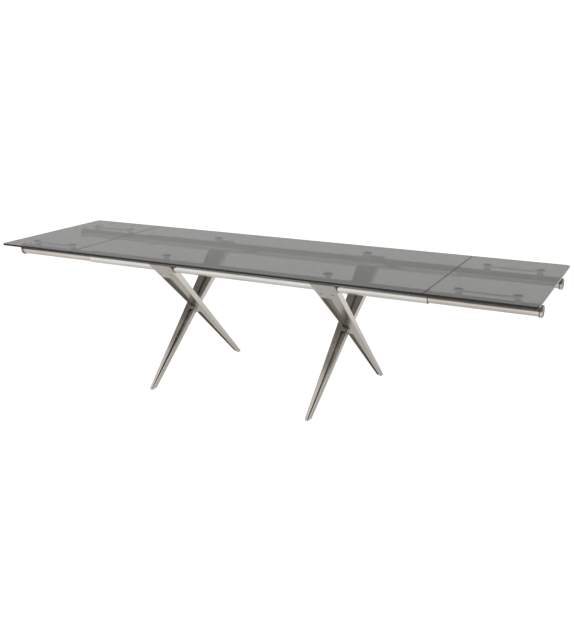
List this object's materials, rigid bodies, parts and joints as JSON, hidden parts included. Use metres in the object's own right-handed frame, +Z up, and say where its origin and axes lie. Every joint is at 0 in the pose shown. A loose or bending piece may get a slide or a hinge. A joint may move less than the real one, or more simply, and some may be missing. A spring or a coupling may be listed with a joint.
{
  "type": "extendable dining table",
  "caption": "Long smoked glass dining table with crossed cast legs, twin tube rails that pull out at the ends and a lift-on glass leaf at each end.",
  "frame": {"origin": "on the floor, under the middle of the table top", "axes": "+X along the table, +Y to the rear rail, +Z up"},
  "size_m": [3, 0.86, 0.74],
  "materials": {
    "smoked_glass": "polished, toughened, smoke grey through the body",
    "polished_tube": "bright polished steel tube",
    "sliding_tube": "finely satined steel tube",
    "cast_leg": "warm grey satin cast aluminium",
    "satin_support": "satin turned aluminium",
    "steel_fastener": "plain steel",
    "clear_pad": "translucent grey bonding pad",
    "black_rubber": "matt black",
    "black_plastic": "matt black",
    "pale_plastic": "pale grey translucent moulded plastic",
    "dark_inlay": "dark brown satin"
  },
  "bodies": {
    "table_frame": {"centre_glass": "smoked_glass", "front_outer_tube": "polished_tube", "rear_outer_tube": "polished_tube", "left_cross_bolt": "steel_fastener", "right_cross_bolt": "steel_fastener", "leg_screws": "steel_fastener", "post_pads": "clear_pad", "post_studs": "steel_fastener", "left_front_mouth_bush": "black_plastic", "left_front_leg": "cast_leg", "left_front_tube_liner": "black_plastic", "left_front_leg_glide": "pale_plastic", "left_front_glass_post": "satin_support", "left_rear_mouth_bush": "black_plastic", "left_rear_leg": "cast_leg", "left_rear_tube_liner": "black_plastic", "left_rear_leg_glide": "pale_plastic", "left_rear_glass_post": "satin_support", "right_front_mouth_bush": "black_plastic", "right_front_leg": "cast_leg", "right_front_tube_liner": "black_plastic", "right_front_leg_glide": "pale_plastic", "right_front_glass_post": "satin_support", "right_rear_mouth_bush": "black_plastic", "right_rear_leg": "cast_leg", "right_rear_tube_liner": "black_plastic", "right_rear_leg_glide": "pale_plastic", "right_rear_glass_post": "satin_support"},
    "left_front_slider": {"left_front_inner_tube": "sliding_tube", "left_front_tail_bush": "black_plastic", "left_front_end_cap": "polished_tube", "left_front_cap_inlay": "dark_inlay", "left_front_bumper_ring": "black_rubber"},
    "left_rear_slider": {"left_rear_inner_tube": "sliding_tube", "left_rear_tail_bush": "black_plastic", "left_rear_end_cap": "polished_tube", "left_rear_cap_inlay": "dark_inlay", "left_rear_bumper_ring": "black_rubber"},
    "left_leaf": {"left_leaf_glass": "smoked_glass", "left_leaf_pads": "clear_pad", "left_leaf_saddles": "black_rubber", "left_front_leaf_bar": "satin_support", "left_rear_leaf_bar": "satin_support"},
    "right_front_slider": {"right_front_inner_tube": "sliding_tube", "right_front_tail_bush": "black_plastic", "right_front_end_cap": "polished_tube", "right_front_cap_inlay": "dark_inlay", "right_front_bumper_ring": "black_rubber"},
    "right_rear_slider": {"right_rear_inner_tube": "sliding_tube", "right_rear_tail_bush": "black_plastic", "right_rear_end_cap": "polished_tube", "right_rear_cap_inlay": "dark_inlay", "right_rear_bumper_ring": "black_rubber"},
    "right_leaf": {"right_leaf_glass": "smoked_glass", "right_leaf_pads": "clear_pad", "right_leaf_saddles": "black_rubber", "right_front_leaf_bar": "satin_support", "right_rear_leaf_bar": "satin_support"}
  },
  "joints": [
    {"name": "left_front_slide", "type": "slide", "parent": "table_frame", "child": "left_front_slider", "axis": [1, 0, 0], "range_m": [0, 0.491]},
    {"name": "left_rear_slide", "type": "slide", "parent": "table_frame", "child": "left_rear_slider", "axis": [1, 0, 0], "range_m": [0, 0.491]},
    {"name": "left_leaf_lift", "type": "slide", "parent": "table_frame", "child": "left_leaf", "axis": [0, 0, 1], "range_m": [0, 0.15]},
    {"name": "right_front_slide", "type": "slide", "parent": "table_frame", "child": "right_front_slider", "axis": [-1, 0, 0], "range_m": [0, 0.491]},
    {"name": "right_rear_slide", "type": "slide", "parent": "table_frame", "child": "right_rear_slider", "axis": [-1, 0, 0], "range_m": [0, 0.491]},
    {"name": "right_leaf_lift", "type": "slide", "parent": "table_frame", "child": "right_leaf", "axis": [0, 0, 1], "range_m": [0, 0.15]}
  ],
  "couplings": [
    {"joint": "left_rear_slide", "follows": "left_front_slide", "ratio": 1},
    {"joint": "left_leaf_lift", "follows": "left_front_slide", "ratio": 0.3},
    {"joint": "right_rear_slide", "follows": "right_front_slide", "ratio": 1},
    {"joint": "right_leaf_lift", "follows": "right_front_slide", "ratio": 0.3}
  ]
}
